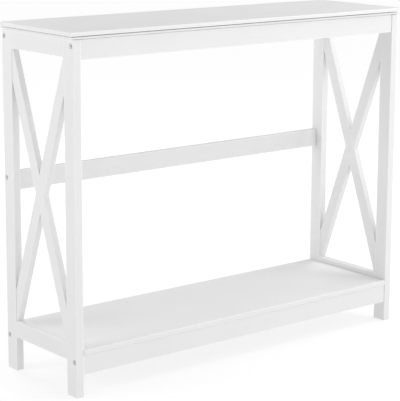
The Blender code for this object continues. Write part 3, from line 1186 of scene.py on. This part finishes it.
def drill_peg_hole(node, face, out, core):
    """The blind hole for a shelf peg, down from a rail's top face or up from the shelf's underside."""
    low, high = box_of(node)
    x, y, _ = (low + high) / 2
    depth = face - low[2] if out > 0 else high[2] - face
    return drill((x, y, face), (0, 0, out), depth + TOUCH, PEG_HOLE, core, around=24)


class CONSOLE_OT_shelf(bpy.types.Operator):
    """Build the lower shelf, which lies on its two rails between the end frames"""

    bl_idname = "console_table.shelf"
    bl_label = "Shelf"

    def execute(self, context):
        sizes = context.scene.console_sizes
        finish = finishes(context)
        low, high = box_of("shelf_panel")
        reach = abs(box_of("left_front_leg")[1][0]) - sizes.shelf_gap
        low[0], high[0] = -reach, reach
        low[2] += sizes.shelf_joint
        ends = (sizes.end_edge, sizes.end_edge)
        small = sizes.layer_edge
        corners = np.array([sizes.board_edge, sizes.board_edge, small, small])
        surface = board_surface(low, high, "X", fixed_radii(corners), ends, sizes.edge_band)
        shelf = add_board("shelf_panel", surface, finish["paint_x"])
        holes = []
        for side in SIDES:
            for end in ENDS:
                holes.append(drill_peg_hole(f"{side}_{end}_shelf_peg", low[2], -1, finish["bare_core"]))
        cut(shelf, holes)
        finish_piece(shelf, "shelf_panel")
        return {"FINISHED"}


class CONSOLE_OT_bolts(bpy.types.Operator):
    """Build the ten socket-head bolts, with hexagonal sockets and cut threads"""

    bl_idname = "console_table.bolts"
    bl_label = "Bolts"

    def execute(self, context):
        sizes = context.scene.console_sizes
        finish = finishes(context)
        for side, sx in SIDES.items():
            for rail in RAILS:
                node = f"{side}_{rail}_bolt"
                low, high = box_of(node)
                _, y, z = (low + high) / 2
                outer_x = max(low[0], high[0], key=abs)
                points, faces = bolt_surface((outer_x, y, z), sx, high[0] - low[0], sizes)
                bolt = add_object(f"{node}_finished", points, faces, finish["zinc_plate"])
                finish_piece(bolt, node)
        return {"FINISHED"}


def bolt_surface(place, sx, length, sizes):
    """A turned bolt, from its tip to the bottom of its socket.

    The radius goes up the tip's chamfer, along the thread, along the plain shank, out under the head,
    up the head's side and over its chamfer, then in across the face, down a hexagon and to a point.
    """
    around = 36
    shank, crest, core = 0.00295, 0.00298, 0.00248
    thread_end = -length + 0.024
    thread_z = np.arange(-length + 0.0008, thread_end, sizes.bolt_pitch / 5)
    thread_r = thread_radii(thread_z, around, core, crest, sizes.bolt_pitch)
    tip = np.array([(-length, 0.0019), (-length + 0.0004, 0.0024)])
    head = np.array(
        [
            (thread_end + 0.0006, shank),
            (-BOLT_HEAD - 0.0004, shank),
            (-BOLT_HEAD, 0.0033),
            (-BOLT_HEAD, 0.0047),
            (-BOLT_HEAD + 0.0003, 0.0050),
            (-0.0008, 0.0050),
            (-0.00035, 0.00485),
            (-0.0001, 0.0046),
            (0.0, 0.0043),
            (0.0, 0.0030),
        ]
    )
    plain = np.ones((1, around))
    hexagon = hexagon_radius(around, 0.0025)[None, :]
    socket_z = np.array([-0.0003, -0.0024, -0.0028])
    socket_r = np.concatenate([hexagon, hexagon, 0.001 * plain])
    heights = np.concatenate([tip[:, 0], thread_z, head[:, 0], socket_z])
    radii = np.concatenate([tip[:, 1:] * plain, thread_r, head[:, 1:] * plain, socket_r])
    return turned_surface(place, (sx, 0, 0), heights, radii, around)


class CONSOLE_OT_barrel_nuts(bpy.types.Operator):
    """Build the ten barrel nuts, each slotted at its open end and drilled for its bolt"""

    bl_idname = "console_table.barrel_nuts"
    bl_label = "Barrel Nuts"

    def execute(self, context):
        for side in SIDES:
            for rail in RAILS:
                make_barrel_nut(f"{side}_{rail}_barrel_nut", finishes(context)["zinc_plate"])
        return {"FINISHED"}


def make_barrel_nut(node, steel):
    """A cylinder with eased ends, a countersunk hole right through and a slot in its open end."""
    low, high = box_of(node)
    x, y, z = (low + high) / 2
    open_end = high[1]
    length = open_end - low[1]
    half = length / 2
    heights = np.array([0, 0.0004, half - 0.001, half, half + 0.001, length - 0.0004, length])
    radii = np.array([0.0046, 0.005, 0.005, 0.005, 0.005, 0.005, 0.0046])[:, None]
    points, faces = turned_surface((x, low[1], z), (0, 1, 0), heights, radii, 48)
    nut = add_object(f"{node}_finished", points, faces, steel)
    countersunk = ((-0.0070, 0.0048), (-0.0043, 0.00305), (0.0043, 0.00305), (0.0070, 0.0048))
    hole = turned_cutter((x, y, z), (1, 0, 0), countersunk, steel)
    slot_low = (x - 0.0038, open_end - 0.0014, z - 0.0007)
    slot_high = (x + 0.0038, open_end + PAST, z + 0.0007)
    cut(nut, [hole, block(slot_low, slot_high, steel)])
    finish_piece(nut, node)


class CONSOLE_OT_dowels(bpy.types.Operator):
    """Build the fluted beech dowels at the rail ends and the pegs under the shelf"""

    bl_idname = "console_table.dowels"
    bl_label = "Dowels and Pegs"

    def execute(self, context):
        finish = finishes(context)
        for side in SIDES:
            for rail in RAILS:
                make_dowel(f"{side}_{rail}_dowel", 0, finish["beech_x"])
            for end in ENDS:
                make_dowel(f"{side}_{end}_shelf_peg", 2, finish["beech_z"])
        return {"FINISHED"}


def make_dowel(node, axis, beech):
    """A fluted dowel: the radius dips a little sixteen times round, and each end is chamfered."""
    low, high = box_of(node)
    length = high[axis] - low[axis]
    radius = (high[1] - low[1]) / 2
    around = 64
    t = np.arange(around) * 2 * math.pi / around
    flute = 1 - 0.055 * np.clip(np.cos(16 * t), 0, 1)
    heights = np.array([0, 0.0008, 0.0016, length / 2, length - 0.0016, length - 0.0008, length])
    profile = np.array([0.80, 0.95, 1.0, 1.0, 1.0, 0.95, 0.80]) * radius
    radii = profile[:, None] * np.where((np.arange(7) % 6 == 0)[:, None], 1.0, flute[None, :])
    place = (low + high) / 2
    place[axis] = low[axis]
    direction = np.eye(3)[axis]
    points, faces = turned_surface(place, direction, heights, radii, around)
    dowel = add_object(f"{node}_finished", points, faces, beech)
    finish_piece(dowel, node)


class CONSOLE_OT_top_screws(bpy.types.Operator):
    """Build the six wood screws that hold the top, with cross recesses in their heads"""

    bl_idname = "console_table.top_screws"
    bl_label = "Top Screws"

    def execute(self, context):
        sizes = context.scene.console_sizes
        finish = finishes(context)
        steel = finish["zinc_plate"]
        for node in top_screws():
            low, high = box_of(node)
            place = (low + high) / 2
            place[2] = low[2]
            points, faces = screw_surface(place, high[2] - low[2], sizes)
            screw = add_object(f"{node}_finished", points, faces, steel)
            cut(screw, [cross_recess(place, steel)])
            finish_piece(screw, node)
        return {"FINISHED"}


def screw_surface(place, length, sizes):
    """A wood screw standing on its head: a low dome, a flat seat, a shank and a thread that tapers.

    The dome's radius at height h is the head's radius times the root of 1 - (1 - h/rise)^2.
    """
    around = 32
    head_radius, rise = 0.0036, 0.0018
    t = np.linspace(0.06, 1, 7)
    dome_z = rise * t
    dome_r = head_radius * np.sqrt(1 - (1 - t) ** 2)
    neck_z = SCREW_HEAD + np.array([-0.0003, 0, 0, 0.0004])
    neck_r = np.array([head_radius, 0.0034, 0.0018, 0.0014])
    thread_z = np.arange(SCREW_HEAD + 0.0006, length - 0.0004, sizes.screw_pitch / 6)
    left = (length - thread_z) / 0.004
    core = 0.00135 * np.clip(left, 0.12, 1)
    ridge = thread_radii(thread_z, around, 0.0, 0.00065, sizes.screw_pitch)
    thread_r = core[:, None] + ridge * np.clip(left, 0.1, 1)[:, None]
    plain = np.ones((1, around))
    heights = np.concatenate([dome_z, neck_z, thread_z, [length]])
    radii = np.concatenate(
        [dome_r[:, None] * plain, neck_r[:, None] * plain, thread_r, 0.00008 * plain]
    )
    return turned_surface(place, (0, 0, 1), heights, radii, around)


def cross_recess(place, steel):
    """A cutter for the cross in a screw's head: a plus-shaped outline that shrinks as it goes in."""
    arm, half = 0.0021, 0.00042
    quarter = np.array([(arm, -half), (arm, half), (half, half)])
    turns = np.arange(4) * math.pi / 2
    spin = np.array([[np.cos(turns), -np.sin(turns)], [np.sin(turns), np.cos(turns)]])
    outline = np.einsum("ijk,pj->kpi", spin, quarter).reshape(-1, 2)
    scale = np.array([1.15, 0.95, 0.55, 0.2])
    levels = np.array([-0.0006, 0.0002, 0.0014, 0.0019])
    rings = lay_along(outline[None] * scale[:, None, None], levels, "Z") + place
    points, faces = skin(rings)
    return add_object("cross", points, faces, steel)


# Stage


class CONSOLE_OT_stage(bpy.types.Operator):
    """Lay the plain floor, hang the soft lights and set up the camera"""

    bl_idname = "console_table.stage"
    bl_label = "Stage"

    def execute(self, context):
        scene = context.scene
        lay_floor(scene)
        light_world(scene)
        hang_lights(scene)
        stand_camera(scene)
        scene.view_settings.view_transform = "Standard"
        scene.view_settings.look = "None"
        return {"FINISHED"}


def lay_floor(scene):
    """A plain square floor: two directions, each from minus to plus half its size."""
    half = scene.console_stage.floor_size / 2
    line = np.linspace(-half, half, 9)
    x, y = np.meshgrid(line, line, indexing="ij")
    points = np.stack([x, y, np.zeros_like(x)], axis=-1).reshape(-1, 3)
    index = np.arange(line.size**2).reshape(line.size, -1)
    faces = np.stack([index[:-1, :-1], index[1:, :-1], index[1:, 1:], index[:-1, 1:]], axis=-1)
    material, tree, shader = new_finish("pale_floor")
    colour = scene.console_colours.floor
    shader.inputs["Base Color"].default_value = (*colour, 1.0)
    shader.inputs["Roughness"].default_value = 0.9
    shader.inputs["Specular IOR Level"].default_value = 0.1
    shader.inputs["Emission Color"].default_value = (1.0, 1.0, 1.0, 1.0)
    place = tree.nodes.new("ShaderNodeTexCoord")
    distance = tree.nodes.new("ShaderNodeVectorMath")
    distance.operation = "LENGTH"
    tree.links.new(place.outputs["Object"], distance.inputs[0])
    glow = scene.console_stage.near_glow, scene.console_stage.far_glow
    strength = spread(tree, distance.outputs["Value"], *glow, 1.0, 2.2)
    strength.node.interpolation_type = "SMOOTHSTEP"
    tree.links.new(strength, shader.inputs["Emission Strength"])
    floor = add_object("floor", points, faces.reshape(-1, 4).tolist(), material)


def light_world(scene):
    """Even white light from all round."""
    world = bpy.data.worlds.new("even_light")
    world.use_nodes = True
    sky = world.node_tree.nodes["Background"]
    sky.inputs["Color"].default_value = (1.0, 1.0, 1.0, 1.0)
    sky.inputs["Strength"].default_value = scene.console_stage.sky
    scene.world = world


def hang_lights(scene):
    """Broad soft lights that face the table from all round, each given by its azimuth and elevation.

    Azimuth 0 is in front of the table and 90 at its right end, in degrees.
    """
    stage = scene.console_stage
    middle = Vector((CAD_LOWEST + CAD_HIGHEST) / 2)
    lights = (
        ("right_light", 90, 25, stage.right_power),
        ("high_right_light", 60, 50, stage.high_power),
        ("left_light", -110, 25, stage.left_power),
        ("back_light", 180, 25, stage.back_power),
        ("front_light", -5, 5, stage.front_power),
        ("front_right_light", 35, 25, stage.corner_power),
    )
    for name, azimuth, elevation, power in lights:
        lamp = bpy.data.lights.new(name, "AREA")
        lamp.shape = "SQUARE"
        lamp.size = stage.light_size
        lamp.energy = power
        obj = bpy.data.objects.new(name, lamp)
        a, e = math.radians(azimuth), math.radians(elevation)
        away = Vector((math.sin(a) * math.cos(e), -math.cos(a) * math.cos(e), math.sin(e)))
        obj.location = middle + away * stage.light_distance
        obj.rotation_mode = "QUATERNION"
        obj.rotation_quaternion = (-away).to_track_quat("-Z", "Y")
        obj.visible_camera = False
        scene.collection.objects.link(obj)


def stand_camera(scene):
    """A camera that looks from its place along a turn and a tilt, with a slight roll."""
    stage = scene.console_stage
    turn, tilt, roll = stage.camera_turn
    ahead = Vector(
        (math.sin(turn) * math.cos(tilt), math.cos(turn) * math.cos(tilt), -math.sin(tilt))
    )
    right = Vector((math.cos(turn), -math.sin(turn), 0))
    up = right.cross(ahead)
    across = math.cos(roll) * right + math.sin(roll) * up
    upward = math.cos(roll) * up - math.sin(roll) * right
    place = Matrix((across, upward, -ahead)).transposed().to_4x4()
    place.translation = Vector(stage.camera_place)
    data = bpy.data.cameras.new("table_camera")
    data.lens = stage.lens
    data.sensor_width = 36.0
    data.shift_y = stage.shift_y
    data.clip_start = 0.05
    data.clip_end = 200.0
    camera = bpy.data.objects.new("table_camera", data)
    camera.matrix_world = place
    scene.collection.objects.link(camera)
    scene.camera = camera


PIECE_OPERATORS = (
    CONSOLE_OT_tabletop,
    CONSOLE_OT_legs,
    CONSOLE_OT_side_rails,
    CONSOLE_OT_braces,
    CONSOLE_OT_long_rails,
    CONSOLE_OT_shelf,
    CONSOLE_OT_bolts,
    CONSOLE_OT_barrel_nuts,
    CONSOLE_OT_dowels,
    CONSOLE_OT_top_screws,
    CONSOLE_OT_stage,
)


class CONSOLE_PT_panel(bpy.types.Panel):
    """The settings and the steps, in the order in which they are run"""

    bl_idname = "CONSOLE_PT_panel"
    bl_label = "Console Table"
    bl_space_type = "VIEW_3D"
    bl_region_type = "UI"
    bl_category = "Console Table"

    def draw(self, context):
        layout = self.layout
        for group in (
            context.scene.console_sizes,
            context.scene.console_colours,
            context.scene.console_stage,
        ):
            column = layout.box().column()
            for name in group.__annotations__:
                column.prop(group, name)
        column = layout.column(align=True)
        for operator in PIECE_OPERATORS:
            column.operator(operator.bl_idname)


GROUPS = (ConsoleSizes, ConsoleColours, ConsoleStage)


def register():
    for group in GROUPS:
        bpy.utils.register_class(group)
    bpy.types.Scene.console_sizes = bpy.props.PointerProperty(type=ConsoleSizes)
    bpy.types.Scene.console_colours = bpy.props.PointerProperty(type=ConsoleColours)
    bpy.types.Scene.console_stage = bpy.props.PointerProperty(type=ConsoleStage)
    for operator in PIECE_OPERATORS:
        bpy.utils.register_class(operator)
    bpy.utils.register_class(CONSOLE_PT_panel)


def unregister():
    bpy.utils.unregister_class(CONSOLE_PT_panel)
    for operator in reversed(PIECE_OPERATORS):
        bpy.utils.unregister_class(operator)
    del bpy.types.Scene.console_stage
    del bpy.types.Scene.console_colours
    del bpy.types.Scene.console_sizes
    for group in reversed(GROUPS):
        bpy.utils.unregister_class(group)


def main():
    """Registers the add-on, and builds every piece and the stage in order."""
    register()
    bpy.ops.console_table.tabletop()
    bpy.ops.console_table.legs()
    bpy.ops.console_table.side_rails()
    bpy.ops.console_table.braces()
    bpy.ops.console_table.long_rails()
    bpy.ops.console_table.shelf()
    bpy.ops.console_table.bolts()
    bpy.ops.console_table.barrel_nuts()
    bpy.ops.console_table.dowels()
    bpy.ops.console_table.top_screws()
    bpy.ops.console_table.stage()


if __name__ == "__main__":
    main()
